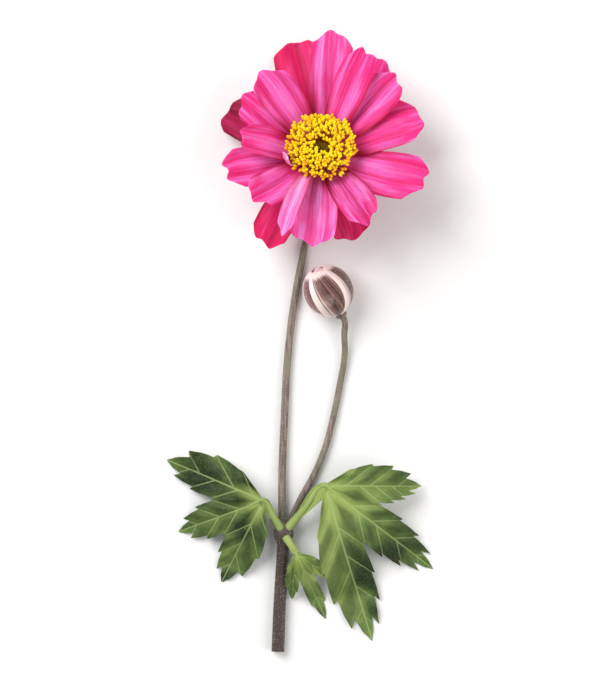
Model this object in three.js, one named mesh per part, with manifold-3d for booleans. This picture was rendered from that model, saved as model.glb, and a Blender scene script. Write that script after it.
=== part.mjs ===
// A picked Japanese anemone, lying on a flat surface at z = 0: one semi-double bloom, face up, on its own
// bare stalk, one round bud on a second stalk, and the three leaves that ring the fork where both stalks
// leave the cut stem. Millimetres, +Z up, +Y from the cut end towards the bloom. The places below are
// measured from the middle of the bloom; the last lines move the origin to the middle of the footprint.
import * as THREE from 'three';
import { mergeVertices } from 'three/addons/utils/BufferGeometryUtils.js';
import Module from 'manifold-3d';

// ---- driving dimensions ----
const SHEET = 0.6; // thickness of every petal and leaf
const GAP = 0.3; // clearance between a piece and what carries it
const FOOT_Z = SHEET / 2; // middle of a sheet that lies on the surface

const BLOOM_AT = [0, -1.5, 8.7]; // where the outermost petals leave the collar
const BLOOM_TILT = 15; // degrees the bloom's axis leans from upright, towards +Y
const COLLAR_RADIUS = 2.6; // swollen top of the stalk that carries the petals
const LAYER_STEP = 1.0; // height between one ring of petals and the next
const COLLAR_TOP = 3.9; // the collar ends just above the innermost ring of petals
const CLAW_HALF = 0.85; // half width of a petal where it leaves the collar
const WIDEST = 0.66; // share of a petal's length where it is widest
const CLAW_CURVE = 1.15; // how long a petal stays narrow: its half width grows as a sine to this power
const TIP_TAPER = 0.2; // share of a petal's width that is lost at its blunt tip
const TIP_ROUND = 0.12; // share of its length by which a petal's corners fall short of its middle
const TIP_NOTCH = 0.018; // half the depth of the shallow notches in its tip, as a share of its length

const STAMEN_RING = { inner: 1.9, outer: 2.8, height: 0.7 };
const ANTHER = { length: 1.5, radius: 0.45 };
const FILAMENT = { root: 0.26, tip: 0.18, sides: 3 };
const STAMEN_ROWS = [
  { count: 24, root: 2.55, lean: 36, length: 7.7 },
  { count: 19, root: 2.45, lean: 49, length: 7.4 },
  { count: 14, root: 2.5, lean: 62, length: 6.9 },
  { count: 9, root: 2.45, lean: 75, length: 6.2 },
];
const PISTIL = { neck: 1.5, radius: 1.85, neckHeight: 1.2, domeHeight: 2.2 };

const STEM_RADIUS = 1.8;
const STALK_RADIUS = 0.95;
const BUD_STALK_RADIUS = 0.85;
const TOOTH_DEPTH = 0.12; // share of a leaf's reach
const LOBE_SHOULDER = 1.4; // above 1, a lobe's sides are rounded out; at 1 they run straight to its notches
const LEAF_FOLD = 1.6; // how far a lobe's sides rise above its midrib
const DROOP_END = 0.7; // share of the longest lobe where a leaf has drooped to the surface
const BLADE_START = 0.8; // radius of the petiole's end, where the blade begins
const PETIOLE_RADIUS = 0.8;
const WING_SHARE = 0.055; // half width of a petiole's wing at the blade, as a share of the longest lobe
const WING_START = 0.2; // share of the petiole's length where its wing begins
const WING_END = 0.84;
const PETIOLE_RISE = 6; // how much higher than its blade a petiole aims as it leaves the fork
const KNUCKLE = { at: [-9.9, -101.5, 2.75], radius: 2.75 }; // the swollen joint at the fork
const CUT_END = [-11.4, -133, STEM_RADIUS];

const BUD = { at: [1.9, -37, 6.95], radius: 6.6, length: 7.0, axis: [-0.47, 0.84, 0.27], sepals: 5 };

// Every petal, ring by ring from the outside in: azimuth of its foot (degrees, counter-clockwise from +X),
// length, width, slope of its midline at foot, middle and tip (degrees above the bloom's own plane), sideways
// lean of its tip (degrees), depth of its trough, height of its ruffle, and twist (degrees).
const PETAL_RINGS = [
  [ // five outer ones, bent back
    { at: 59, length: 30.4, width: 11.5, bend: [8, -4, -18], lean: 2, trough: 0.7, ruffle: 0.5, twist: 4 },
    { at: 103, length: 31.2, width: 13.0, bend: [12, 0, -20], lean: 0, trough: 0.8, ruffle: 0.6, twist: -5 },
    { at: 152, length: 27.2, width: 13.5, bend: [5, -12, -24], lean: -2, trough: 0.9, ruffle: 0.6, twist: 6 },
    { at: 234, length: 25.8, width: 10.5, bend: [4, -14, -24], lean: 3, trough: 1.2, ruffle: 0.5, twist: -8 },
    { at: 295, length: 21.6, width: 11.0, bend: [4, -14, -26], lean: -3, trough: 1.0, ruffle: 0.9, twist: 8 },
  ],
  [ // six of the next ring
    { at: 21, length: 26.6, width: 12.8, bend: [22, 24, 10], lean: -5, trough: 1.5, ruffle: 0.5, twist: -4 },
    { at: 81, length: 30.8, width: 11.5, bend: [20, 24, 16], lean: 3, trough: 1.1, ruffle: 0.6, twist: 3 },
    { at: 152, length: 23.6, width: 10.8, bend: [22, 22, 14], lean: -5, trough: 1.2, ruffle: 0.6, twist: -6 },
    { at: 198, length: 25.4, width: 11.8, bend: [22, 24, 14], lean: -2, trough: 1.4, ruffle: 0.8, twist: 6 },
    { at: 264, length: 26.4, width: 12.2, bend: [20, 22, 12], lean: 1, trough: 1.3, ruffle: 0.6, twist: 0 },
    { at: 332, length: 28.2, width: 12.6, bend: [20, 24, 12], lean: 8, trough: 1.5, ruffle: 0.5, twist: 5 },
  ],
  [ // five of the ring inside it
    { at: 43, length: 27.0, width: 10.8, bend: [24, 34, 24], lean: -2, trough: 1.3, ruffle: 0.7, twist: 5 },
    { at: 126, length: 25.6, width: 10.8, bend: [24, 38, 34], lean: 5, trough: 1.2, ruffle: 0.6, twist: -4 },
    { at: 177, length: 22.0, width: 9.2, bend: [24, 38, 32], lean: 0, trough: 1.5, ruffle: 0.7, twist: 8 },
    { at: 226, length: 25.0, width: 10.0, bend: [24, 38, 28], lean: -4, trough: 1.4, ruffle: 0.8, twist: -6 },
    { at: 299, length: 27.6, width: 9.6, bend: [24, 38, 30], lean: 0, trough: 2.2, ruffle: 0.6, twist: 12 },
  ],
  [ // two narrow inner ones, and one that curls up beside the stamens
    { at: 63, length: 28.4, width: 9.4, bend: [30, 40, 26], lean: 0, trough: 1.1, ruffle: 0.5, twist: -8 },
    { at: 240, length: 29.0, width: 4.8, bend: [32, 42, 6], lean: 9, trough: 1.2, ruffle: 0.4, twist: 16 },
    { at: 202, length: 14.8, width: 4.0, bend: [34, 22, 100], lean: 3, trough: 0.4, ruffle: 0.1, twist: 0 },
  ],
];
const PETALS = PETAL_RINGS.flatMap((ring, layer) => ring.map((petal) => ({ ...petal, layer })));

// Every leaf: where its blade starts, the bearing of its middle lobe, its lobes, and the notches on both
// sides of each lobe (bearing from the middle lobe and reach). A blade droops until it lies on the surface.
const LEAVES = [
  {
    name: 'leaf_left', base: [-15.2, -92.5, 6.2], bearing: 201, teeth: 3, arch: 1.6,
    lobes: [{ at: -43, reach: 28 }, { at: 0, reach: 24.5 }, { at: 42, reach: 25 }],
    notches: [{ at: -76, reach: 9 }, { at: -22, reach: 14 }, { at: 21, reach: 14 }, { at: 76, reach: 9 }],
  },
  {
    name: 'leaf_right', base: [1.0, -88.5, 7.0], bearing: -38, teeth: 4, arch: 2.6,
    lobes: [{ at: -35, reach: 44 }, { at: 0, reach: 37 }, { at: 37, reach: 26 }],
    notches: [{ at: -60, reach: 14 }, { at: -18, reach: 19 }, { at: 19, reach: 16 }, { at: 70, reach: 8 }],
  },
  {
    name: 'leaf_small', base: [-6.7, -106.3, 5.7], bearing: -66, teeth: 2, arch: 0.9,
    lobes: [{ at: -28, reach: 13 }, { at: 0, reach: 20 }, { at: 29, reach: 11.5 }],
    notches: [{ at: -52, reach: 4.5 }, { at: -15, reach: 8 }, { at: 15, reach: 8 }, { at: 54, reach: 4.5 }],
  },
];

// The stems run along the surface; the flower stalk turns up under the bloom.
const STEM_PATH = [CUT_END, [-11.0, -122, STEM_RADIUS], [-10.3, -110, STEM_RADIUS + 0.2], KNUCKLE.at];
const BUD_STALK_PATH = [
  [-8.6, -99.5, 2.2], [-5.6, -93.0, 1.3], [-1.6, -85.6, 1.1], [1.3, -78.5, 1.1], [3.4, -70.5, 1.1],
  [5.2, -61.5, 1.1], [6.4, -54.0, 1.7], [6.3, -48.6, 3.2],
];
const STALK_PATH = [
  [-10.2, -99.0, 2.6], [-10.3, -88.0, 1.6], [-9.6, -70.0, 1.3], [-8.6, -53.0, 1.3], [-6.7, -38.0, 1.3],
  [-4.2, -25.0, 1.4], [-2.4, -15.5, 1.9], [-1.0, -8.6, 3.2],
];

const COLOURS = {
  petal: 0xe0338a, petalBack: 0xb01454, stamen: 0xf2b51d, pistil: 0x8a9a35,
  stem: 0x5b4a3c, leaf: 0x2f5a2c, bud: 0x8f6a63,
};

// ---- small helpers ----
const GOLDEN_ANGLE = 2.399963; // radians; spreads phases without a pattern
const rad = THREE.MathUtils.degToRad;
const vec = ([x, y, z]) => new THREE.Vector3(x, y, z);
const wasm = await Module();
wasm.setup();

// Same phase for the same index, so each petal's ruffle differs but never changes.
const phaseOf = (index) => (index * GOLDEN_ANGLE) % (2 * Math.PI);

function solidOf(points, faces) {
  const geometry = new THREE.BufferGeometry();
  const numbers = points.flatMap((point) => point.toArray());
  geometry.setAttribute('position', new THREE.Float32BufferAttribute(numbers, 3));
  geometry.setIndex(faces.flat());
  geometry.computeVertexNormals();
  return geometry;
}

// A closed sheet of even thickness round surface(u, v), with u from -1 to 1 and v from 0 to 1. Both faces
// are split along the same diagonal, so they never cross.
function sheetSolid(surface, across, along) {
  const points = [];
  const faces = [];
  const nudge = 1e-3;
  const row = along + 1;
  const half = (across + 1) * row;
  const lower = [];
  for (let i = 0; i <= across; i += 1) {
    for (let j = 0; j <= along; j += 1) {
      const u = (2 * i) / across - 1;
      const v = j / along;
      const alongU = surface(Math.min(u + nudge, 1), v).sub(surface(Math.max(u - nudge, -1), v));
      const alongV = surface(u, Math.min(v + nudge, 1)).sub(surface(u, Math.max(v - nudge, 0)));
      const offset = alongU.cross(alongV).setLength(SHEET / 2);
      const middle = surface(u, v);
      points.push(middle.clone().add(offset));
      lower.push(middle.sub(offset));
    }
  }
  points.push(...lower);
  for (let i = 0; i < across; i += 1) {
    for (let j = 0; j < along; j += 1) {
      const a = i * row + j;
      const b = a + row;
      faces.push([a, b, b + 1], [a, b + 1, a + 1]);
      faces.push([half + a, half + b + 1, half + b], [half + a, half + a + 1, half + b + 1]);
    }
  }
  const rim = [];
  for (let i = 0; i < across; i += 1) rim.push([i * row, (i + 1) * row]);
  for (let j = 0; j < along; j += 1) rim.push([across * row + j, across * row + j + 1]);
  for (let i = across; i > 0; i -= 1) rim.push([i * row + along, (i - 1) * row + along]);
  for (let j = along; j > 0; j -= 1) rim.push([j, j - 1]);
  for (const [a, b] of rim) faces.push([a, half + a, half + b], [a, half + b, b]);
  return solidOf(points, faces);
}

// A closed tube along a smooth curve through the points; radiusAt takes the share of its length.
function tubeSolid(path, radiusAt, sides, steps) {
  const curve = new THREE.CatmullRomCurve3(path.map(vec), false, 'centripetal');
  const frames = curve.computeFrenetFrames(steps, false);
  const points = [];
  const faces = [];
  for (let step = 0; step <= steps; step += 1) {
    const centre = curve.getPointAt(step / steps);
    const radius = radiusAt(step / steps);
    for (let side = 0; side < sides; side += 1) {
      const turn = (2 * Math.PI * side) / sides;
      points.push(centre.clone()
        .addScaledVector(frames.normals[step], radius * Math.cos(turn))
        .addScaledVector(frames.binormals[step], radius * Math.sin(turn)));
    }
  }
  const first = points.push(curve.getPointAt(0)) - 1;
  const last = points.push(curve.getPointAt(1)) - 1;
  for (let side = 0; side < sides; side += 1) {
    const next = (side + 1) % sides;
    for (let step = 0; step < steps; step += 1) {
      const a = step * sides;
      const b = a + sides;
      faces.push([a + side, a + next, b + next], [a + side, b + next, b + side]);
    }
    faces.push([first, next, side], [last, steps * sides + side, steps * sides + next]);
  }
  return solidOf(points, faces);
}

// Joins closed geometries into one body.
function fuse(geometries) {
  const solids = geometries.map((source) => {
    const bare = source.clone();
    bare.deleteAttribute('normal');
    bare.deleteAttribute('uv');
    const merged = mergeVertices(bare, 1e-5);
    return new wasm.Manifold(new wasm.Mesh({
      numProp: 3,
      vertProperties: new Float32Array(merged.attributes.position.array),
      triVerts: new Uint32Array(merged.index.array),
    }));
  });
  const joined = solids.reduce((all, solid) => all.add(solid)).getMesh();
  const geometry = new THREE.BufferGeometry();
  geometry.setAttribute('position', new THREE.Float32BufferAttribute(joined.vertProperties, 3));
  geometry.setIndex(Array.from(joined.triVerts));
  geometry.computeVertexNormals();
  return geometry;
}

// Turns a profile of [radius, height] round the upright axis.
function lathe(profile, sides) {
  const outline = profile.map(([radius, height]) => new THREE.Vector2(radius, height));
  return new THREE.LatheGeometry(outline, sides).rotateX(Math.PI / 2);
}

function piece(name, geometry, colour, roughness) {
  const material = new THREE.MeshStandardMaterial({ color: colour, roughness, metalness: 0 });
  const mesh = new THREE.Mesh(geometry, material);
  mesh.name = name;
  return mesh;
}

// ---- the bloom ----
// The bloom's own frame: its axis is +Z, the outermost petals leave the collar at height 0.
const bloomFrame = new THREE.Matrix4()
  .makeRotationX(-rad(BLOOM_TILT))
  .setPosition(...BLOOM_AT);

// Half width of a petal at share v of its length: a narrow claw, widest past the middle, blunt at the tip.
function petalHalfWidth(width, v) {
  const body = width / 2 - CLAW_HALF;
  if (v < WIDEST) return CLAW_HALF + body * Math.sin((Math.PI / 2) * (v / WIDEST)) ** CLAW_CURVE;
  const past = (v - WIDEST) / (1 - WIDEST);
  return CLAW_HALF + body * (1 - TIP_TAPER * past * past);
}

// The midline is a slope that blends from foot to middle to tip, added up in short steps.
function petalMidline(petal, share) {
  const steps = 24;
  let reach = COLLAR_RADIUS + GAP;
  let height = petal.layer * LAYER_STEP;
  const [foot, middle, tip] = petal.bend;
  const slopeAt = (v) => rad(foot * (1 - v) ** 2 + 2 * middle * v * (1 - v) + tip * v * v);
  for (let step = 0; step < steps; step += 1) {
    const slope = slopeAt((share * (step + 0.5)) / steps);
    reach += (Math.cos(slope) * petal.length * share) / steps;
    height += (Math.sin(slope) * petal.length * share) / steps;
  }
  return { reach, height, slope: slopeAt(share) };
}

function petalSurface(petal, index) {
  const phase = phaseOf(index);
  const outward = new THREE.Vector3(Math.cos(rad(petal.at)), Math.sin(rad(petal.at)), 0);
  const sideways = new THREE.Vector3(-outward.y, outward.x, 0);
  return (u, v) => {
    const notch = TIP_NOTCH * v ** 3 * (1 + Math.cos(2 * Math.PI * u + phase));
    const round = 1 - TIP_ROUND * Math.abs(u) ** 3 * v - notch;
    const share = v * round;
    const { reach, height, slope } = petalMidline(petal, share);
    const half = petalHalfWidth(petal.width, share) * u;
    const trough = petal.trough * u * u * Math.min(1, 2.2 * share);
    const ruffle = petal.ruffle * share * (Math.abs(u) ** 1.5 * Math.sin(9 * share + phase + 2 * Math.sign(u))
      + 0.5 * share * share * Math.cos(2 * Math.PI * u + phase));
    const twist = rad(petal.twist) * share;
    const aside = half * Math.cos(twist) + petal.length * Math.tan(rad(petal.lean)) * share * share;
    const lift = half * Math.sin(twist) + trough + ruffle;
    const point = outward.clone().multiplyScalar(reach - Math.sin(slope) * lift)
      .addScaledVector(sideways, aside)
      .setZ(height + Math.cos(slope) * lift)
      .applyMatrix4(bloomFrame);
    point.z = Math.max(point.z, FOOT_Z);
    return point;
  };
}

function petals() {
  return PETALS.map((petal, index) => {
    const small = petal.length < 15;
    const geometry = sheetSolid(petalSurface(petal, index), small ? 4 : 6, small ? 7 : 10);
    const name = `petal_${String(index + 1).padStart(2, '0')}`;
    return piece(name, geometry, petal.layer === 0 ? COLOURS.petalBack : COLOURS.petal, 0.55);
  });
}

// One stamen in the bloom's frame: a filament that curves upright as it rises, with an anther on its tip.
function stamen(azimuth, row, stretch) {
  const outward = new THREE.Vector3(Math.cos(azimuth), Math.sin(azimuth), 0);
  const at = (share) => {
    const slope = rad(row.lean + 14 * (share - 0.5));
    const run = row.length * stretch * share;
    return outward.clone().multiplyScalar(row.root + run * Math.cos(slope))
      .setZ(COLLAR_TOP + GAP + STAMEN_RING.height / 2 + run * Math.sin(slope));
  };
  const path = [at(0), at(0.5), at(1)].map((p) => p.toArray());
  const taper = (share) => THREE.MathUtils.lerp(FILAMENT.root, FILAMENT.tip, share);
  const filament = tubeSolid(path, taper, FILAMENT.sides, 2);
  const tipDirection = at(1).sub(at(0.9)).normalize();
  const anther = new THREE.SphereGeometry(1, 4, 3)
    .scale(ANTHER.radius, ANTHER.length / 2, ANTHER.radius)
    .applyQuaternion(new THREE.Quaternion().setFromUnitVectors(new THREE.Vector3(0, 1, 0), tipDirection))
    .translate(...at(1).addScaledVector(tipDirection, ANTHER.length * 0.3).toArray());
  return [filament, anther];
}

function stamens() {
  const { inner, outer, height } = STAMEN_RING;
  const foot = COLLAR_TOP + GAP;
  const top = foot + height;
  const ring = lathe([[inner, foot], [outer, foot], [outer, top], [inner, top], [inner, foot]], 24);
  const parts = [ring];
  STAMEN_ROWS.forEach((row, rowIndex) => {
    for (let i = 0; i < row.count; i += 1) {
      const jitter = 0.25 * Math.sin(phaseOf(i + 7 * rowIndex) * 3);
      const azimuth = (2 * Math.PI * (i + 0.5 * (rowIndex % 2) + jitter)) / row.count;
      const leaning = { ...row, lean: row.lean + 4 * Math.sin(phaseOf(i * 2 + rowIndex)) };
      parts.push(...stamen(azimuth, leaning, 1 + 0.05 * Math.cos(phaseOf(i + 3 * rowIndex))));
    }
  });
  return piece('stamens', fuse(parts).applyMatrix4(bloomFrame), COLOURS.stamen, 0.6);
}

// The pistils make one small dome, narrower at its foot, with a low bump for each carpel.
function pistils() {
  const foot = COLLAR_TOP + GAP;
  const { neck, radius, neckHeight, domeHeight } = PISTIL;
  const shoulder = foot + neckHeight;
  const profile = [[0, foot], [neck, foot], [neck, foot + neckHeight * 0.7], [radius * 0.93, shoulder]];
  const rings = 6;
  for (let ring = 1; ring <= rings; ring += 1) {
    const turn = (Math.PI / 2) * (ring / rings);
    profile.push([ring === rings ? 0 : radius * Math.cos(turn), shoulder + domeHeight * Math.sin(turn)]);
  }
  const dome = lathe(profile, 20);
  const places = dome.attributes.position;
  for (let i = 0; i < places.count; i += 1) {
    const point = new THREE.Vector3().fromBufferAttribute(places, i);
    const above = (point.z - shoulder) / domeHeight;
    if (above > 0.05 && above < 0.99) {
      const azimuth = Math.atan2(point.y, point.x);
      const bump = 1 + 0.06 * Math.cos(10 * azimuth + Math.round(above * rings) * Math.PI);
      places.setXY(i, point.x * bump, point.y * bump);
    }
  }
  return piece('pistils', fuse([dome]).applyMatrix4(bloomFrame), COLOURS.pistil, 0.6);
}

// ---- stem, stalks and bud ----
// The collar under the bloom: the stalk's end widens to the ring of petals and ends flat under the stamens.
function collar() {
  const profile = [
    [0, -2.6], [STALK_RADIUS * 0.9, -2.6], [STALK_RADIUS * 1.25, -1.6], [COLLAR_RADIUS, -0.7],
    [COLLAR_RADIUS, COLLAR_TOP], [0, COLLAR_TOP],
  ];
  return lathe(profile, 20).applyMatrix4(bloomFrame);
}

const budAxis = vec(BUD.axis).normalize();
const budBase = vec(BUD.at).addScaledVector(budAxis, -(BUD.length + GAP));

function stem() {
  const collarFoot = new THREE.Vector3(0, 0, -1.9).applyMatrix4(bloomFrame).toArray();
  const lowerNeck = new THREE.Vector3(0, 0, -3.6).applyMatrix4(bloomFrame).toArray();
  const budNeck = budBase.clone().addScaledVector(budAxis, -2.2).toArray();
  const fork = new THREE.SphereGeometry(KNUCKLE.radius, 14, 10).translate(...KNUCKLE.at);
  const cup = new THREE.SphereGeometry(BUD_STALK_RADIUS * 1.4, 10, 6).scale(1, 1, 0.8)
    .applyQuaternion(new THREE.Quaternion().setFromUnitVectors(new THREE.Vector3(0, 0, 1), budAxis))
    .translate(...budBase.clone().addScaledVector(budAxis, -BUD_STALK_RADIUS * 1.12).toArray());
  return piece('stem', fuse([
    tubeSolid(STEM_PATH, (share) => STEM_RADIUS * (1 - 0.08 * share), 12, 6),
    fork,
    tubeSolid([...STALK_PATH, lowerNeck, collarFoot], (share) => STALK_RADIUS * (1.12 - 0.12 * share), 8, 32),
    collar(),
    tubeSolid([...BUD_STALK_PATH, budNeck, budBase.clone().addScaledVector(budAxis, -0.7).toArray()],
      (share) => BUD_STALK_RADIUS * (1.1 - 0.1 * share), 8, 22),
    cup,
  ]), COLOURS.stem, 0.7);
}

// The bud is a ball of sepals that lap over each other round its axis: each one's edge stands a little proud.
function bud() {
  const around = BUD.sepals * 5;
  const ball = new THREE.SphereGeometry(1, around, 12);
  const places = ball.attributes.position;
  for (let i = 0; i < places.count; i += 1) {
    const point = new THREE.Vector3().fromBufferAttribute(places, i);
    const turn = Math.atan2(point.z, point.x) / (2 * Math.PI) + 1 + 0.12 * point.y;
    const lap = (turn * BUD.sepals) % 1;
    const spread = Math.hypot(point.x, point.z);
    const proud = 1 + 0.09 * (lap - 0.5) * Math.min(1, 2 * spread);
    places.setXYZ(i, point.x * BUD.radius * proud, point.y * BUD.length, point.z * BUD.radius * proud);
  }
  const upright = new THREE.Quaternion().setFromUnitVectors(new THREE.Vector3(0, 1, 0), budAxis);
  return piece('bud', fuse([ball]).applyQuaternion(upright).translate(...BUD.at), COLOURS.bud, 0.75);
}

// ---- leaves ----
// A point (u, v) of a blade: u runs round the lobes from the first notch to the last, v from the petiole to
// the toothed margin. Each lobe is folded up along its midrib.
function leafSurface(leaf) {
  const { lerp } = THREE.MathUtils;
  const longest = Math.max(...leaf.lobes.map((lobe) => lobe.reach));
  return (u, v) => {
    const place = THREE.MathUtils.clamp(((u + 1) / 2) * leaf.lobes.length, 0, leaf.lobes.length - 1e-9);
    const index = Math.floor(place);
    const across = 2 * (place - index) - 1;
    const lobe = leaf.lobes[index];
    const notch = leaf.notches[across < 0 ? index : index + 1];
    const off = Math.abs(across);
    const bearing = rad(leaf.bearing + lerp(lobe.at, notch.at, off));
    const saw = Math.abs(((off * leaf.teeth * 2) % 2) - 1);
    const reach = lerp(lobe.reach, notch.reach, off ** LOBE_SHOULDER) * (1 - TOOTH_DEPTH * (1 - saw) * v);
    const run = BLADE_START + v * (reach - BLADE_START);
    const drop = run / (longest * DROOP_END);
    const height = leaf.base[2] * (1 - drop ** 1.5) + leaf.arch * Math.sin(Math.PI * Math.min(drop, 1))
      + LEAF_FOLD * off * Math.min(1, 2 * v) * Math.max(0, 1 - drop);
    return new THREE.Vector3(
      leaf.base[0] + run * Math.cos(bearing),
      leaf.base[1] + run * Math.sin(bearing),
      Math.max(height, FOOT_Z),
    );
  };
}

// The blade runs down both sides of its petiole as a wing that narrows towards the fork.
function wingSurface(path, widest) {
  const curve = new THREE.CatmullRomCurve3(path, false, 'centripetal');
  return (u, v) => {
    const share = THREE.MathUtils.lerp(WING_START, WING_END, v);
    const ahead = curve.getTangentAt(share);
    const sideways = new THREE.Vector3(-ahead.y, ahead.x, 0).normalize();
    const half = THREE.MathUtils.lerp(PETIOLE_RADIUS, widest, v);
    return curve.getPointAt(share).addScaledVector(sideways, u * half);
  };
}

function leaves() {
  return LEAVES.map((leaf) => {
    const blade = sheetSolid(leafSurface(leaf), leaf.lobes.length * leaf.teeth * 4, 4);
    const base = vec(leaf.base);
    const away = base.clone().sub(vec(KNUCKLE.at)).add(new THREE.Vector3(0, 0, PETIOLE_RISE)).normalize();
    const root = vec(KNUCKLE.at).addScaledVector(away, KNUCKLE.radius + GAP);
    const bearing = rad(leaf.bearing);
    const inside = base.clone().add(new THREE.Vector3(Math.cos(bearing), Math.sin(bearing), 0));
    const path = [root, root.clone().lerp(base, 0.5).add(new THREE.Vector3(0, 0, 0.5)), base, inside];
    const petiole = tubeSolid(path.map((p) => p.toArray()), () => PETIOLE_RADIUS, 8, 8);
    const longest = Math.max(...leaf.lobes.map((lobe) => lobe.reach));
    const wing = sheetSolid(wingSurface(path, WING_SHARE * longest), 2, 6);
    return piece(leaf.name, fuse([blade, petiole, wing]), COLOURS.leaf, 0.5);
  });
}

// ---- the whole flower, its origin on the surface at the middle of its footprint ----
const flower = new THREE.Group();
flower.add(...petals(), stamens(), pistils(), stem(), bud(), ...leaves());
const middle = new THREE.Box3().setFromObject(flower).getCenter(new THREE.Vector3());
flower.position.set(-middle.x, -middle.y, 0);

export default flower;
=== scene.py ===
# %% [markdown]
# # A picked Japanese anemone
# A semi-double bloom lies face up on a pale table, with the round bud and the three leaves that grow from
# the fork of its stalk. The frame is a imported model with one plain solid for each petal, leaf and so on, and
# this lesson dresses every solid in a thinner, softer piece of the same form. Places are written in
# millimetres from the middle of the bloom and moved into the frame's metres.

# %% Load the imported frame
from collections import namedtuple

import bpy
import numpy as np
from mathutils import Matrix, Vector
from numpy import clip, cos, maximum, minimum, pi, radians, sin
from numpy.linalg import norm


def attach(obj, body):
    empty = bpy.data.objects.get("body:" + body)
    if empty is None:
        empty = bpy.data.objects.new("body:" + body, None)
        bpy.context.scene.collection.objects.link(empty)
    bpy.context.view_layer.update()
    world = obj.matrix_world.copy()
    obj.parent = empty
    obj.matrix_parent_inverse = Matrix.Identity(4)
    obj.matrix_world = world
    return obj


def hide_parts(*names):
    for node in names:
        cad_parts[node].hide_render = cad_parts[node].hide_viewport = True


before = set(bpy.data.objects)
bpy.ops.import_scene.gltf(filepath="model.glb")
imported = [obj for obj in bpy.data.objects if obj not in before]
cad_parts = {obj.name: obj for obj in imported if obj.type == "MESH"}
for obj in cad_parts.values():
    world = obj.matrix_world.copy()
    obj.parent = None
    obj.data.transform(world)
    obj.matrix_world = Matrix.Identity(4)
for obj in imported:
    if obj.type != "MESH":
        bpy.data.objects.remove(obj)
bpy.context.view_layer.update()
MM = 0.001
print("solids in the frame:", len(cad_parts))

# %% [markdown]
# ## Finding the bloom in the frame
# The bloom's axis leans fifteen degrees from upright. The tip of the pistils lies on it, at a known height
# above the outermost petals' feet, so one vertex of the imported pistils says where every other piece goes.

# %% Work out where the drawing's origin lies
BLOOM_TILT = radians(15)
BLOOM_AXIS = np.array([0, sin(BLOOM_TILT), cos(BLOOM_TILT)])
BLOOM_AT = np.array([0, -1.5, 8.7])
PISTIL_TIP = 7.6  # along the axis, above the place where the outermost petals leave the collar


def points_of(piece):
    flat = np.empty(len(piece.data.vertices) * 3)
    piece.data.vertices.foreach_get("co", flat)
    return flat.reshape(-1, 3)


packed_pistils = points_of(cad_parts["pistils"]) / MM
tip = packed_pistils[np.argmax(packed_pistils @ BLOOM_AXIS)]
SHIFT = tip - BLOOM_AXIS * PISTIL_TIP - BLOOM_AT


def place(points):
    """Millimetres of the drawing to metres of the frame."""
    return (np.asarray(points, float) + SHIFT) * MM


def bloom_to_drawing(points):
    """Leans points of the upright bloom into the drawing."""
    x, y, z = np.asarray(points, float).T
    _, forward, upward = BLOOM_AXIS
    return np.stack([x, y * upward + z * forward, z * upward - y * forward], axis=1) + BLOOM_AT


print("middle of the bloom in the frame, mm:", SHIFT.round(2))

# %% [markdown]
# ## Camera, table and light
# The flower lies down, so the camera looks straight down, through a long lens from more than a metre away,
# which keeps the raised bloom from looking swollen. A wide soft light from the upper left gives the petals
# their relief, a weaker one from the right opens the shadows, and a pale world stands for a white studio.
# Petals this bright need the Standard view, which doesn't grey them.

# %% Aim the camera
VIEW_HEIGHT = 182  # millimetres of table from the top of the picture to the bottom
CAMERA_HEIGHT = 1150
SENSOR = 36


def give(thing, **settings):
    for name, value in settings.items():
        setattr(thing, name, value)
    return thing


def coat(piece, *finishes):
    for finish in finishes:
        piece.data.materials.append(finish)


def only(*pieces):
    """Selects these pieces alone, because operators act on all that is selected."""
    bpy.ops.object.select_all(action="DESELECT")
    for piece in pieces:
        piece.select_set(True)
    bpy.context.view_layer.objects.active = pieces[0]


bpy.ops.object.camera_add(location=(0, 0, CAMERA_HEIGHT * MM), rotation=(0, 0, 0))
camera = bpy.context.object
lens = SENSOR * CAMERA_HEIGHT / VIEW_HEIGHT
give(camera.data, sensor_fit="VERTICAL", sensor_height=SENSOR, lens=lens, clip_end=10)
scene = bpy.context.scene
scene.camera = camera
scene.view_settings.view_transform = "Standard"
print("lens, mm:", round(lens))

# %% Lay the table and hang the lights
LIT_PLACE = Vector((0, 0.02, 0))


def soft_light(name, location, size, power, colour=(1, 1, 1)):
    bpy.ops.object.light_add(type="AREA", location=location)
    beam = (LIT_PLACE - Vector(location)).to_track_quat("-Z", "Y").to_euler()
    lamp = give(bpy.context.object, name=name, rotation_euler=beam)
    give(lamp.data, shape="DISK", size=size, energy=power, color=colour)


soft_light("key", location=(-0.42, 0.36, 0.62), size=0.62, power=6.6)
soft_light("fill", location=(0.55, -0.1, 0.5), size=0.7, power=2.5, colour=(1, 0.97, 0.95))
world = give(bpy.data.worlds.new("studio"), use_nodes=True)
backdrop = world.node_tree.nodes["Background"].inputs
backdrop["Color"].default_value = (1, 1, 1, 1)
backdrop["Strength"].default_value = 0.44
scene.world = world

bpy.ops.mesh.primitive_plane_add(size=6, location=(0, 0, 0))
table = give(bpy.context.object, name="table")

# %% [markdown]
# ## Mixing paint
# A finish is a small tree of shader nodes, and written out one by one they hide what the paint is made of.
# So a few helpers add a node and feed it in one line. A feed is a number, a colour or the socket of another
# node, which knows its own tree. One layer of paint goes over another by a share from 0 to 1.


# %% Helpers for shader nodes
def make(tree, kind, feeds=None, **settings):
    node = give(tree.nodes.new("ShaderNode" + kind), **settings)
    for socket, value in (feeds or {}).items():
        if isinstance(value, bpy.types.NodeSocket):
            tree.links.new(value, node.inputs[socket])
        else:
            node.inputs[socket].default_value = value
    return node


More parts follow.
